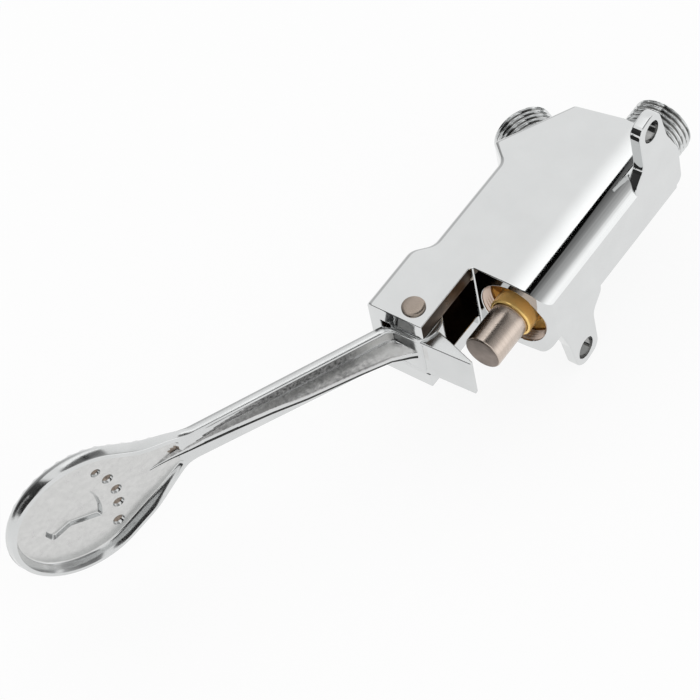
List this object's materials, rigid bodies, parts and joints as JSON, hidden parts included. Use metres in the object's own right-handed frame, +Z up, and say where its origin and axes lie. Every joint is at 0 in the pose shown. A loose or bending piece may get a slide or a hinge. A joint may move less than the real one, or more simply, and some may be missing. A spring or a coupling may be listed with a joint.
{
  "type": "foot pedal tap valve",
  "caption": "Floor-mounted foot valve for a tap: cast body with threaded inlet and leaning outlet, forked nose, long lever with a round foot pedal, spring-loaded plunger valve.",
  "frame": {"origin": "midway between the two floor screws, on the floor face", "axes": "+X forward to the pedal along the plunger's axis, +Z up from the floor, +Y to the side of the rear floor lug"},
  "size_m": [0.2397, 0.0692, 0.0996],
  "materials": {
    "body_chrome": "polished",
    "lever_chrome": "satin",
    "gland_brass": "turned",
    "inner_brass": "turned",
    "plunger_steel": "turned",
    "pin_steel": "satin",
    "spring_steel": "drawn wire",
    "seal_rubber": "matt"
  },
  "bodies": {
    "casting": {"valve_body": "body_chrome", "gland_nut": "gland_brass", "gland_gasket": "seal_rubber", "plunger_seals": "seal_rubber", "valve_seat": "inner_brass", "seat_seal": "seal_rubber", "pivot_pin": "pin_steel", "pin_clip": "pin_steel", "return_spring": "spring_steel"},
    "lever": {"pedal_lever": "lever_chrome"},
    "slider": {"plunger": "plunger_steel", "stop_ring": "plunger_steel", "valve_stem": "inner_brass", "disc_holder": "inner_brass", "disc_washer": "seal_rubber", "disc_nut": "inner_brass"}
  },
  "joints": [
    {"name": "pedal_press", "type": "hinge", "parent": "casting", "child": "lever", "pos_m": [0.0616, 0, 0.034], "axis": [0, 1, 0], "range_deg": [0, 32]},
    {"name": "plunger_slide", "type": "slide", "parent": "casting", "child": "slider", "axis": [-1, 0, 0], "range_m": [0, 0.0051], "stiffness_N_per_m": 3000, "springref_m": -0.01, "deforming": ["return_spring"]}
  ],
  "couplings": [
    {"joint": "plunger_slide", "follows": "pedal_press", "m_per_rad": 0.00913}
  ]
}
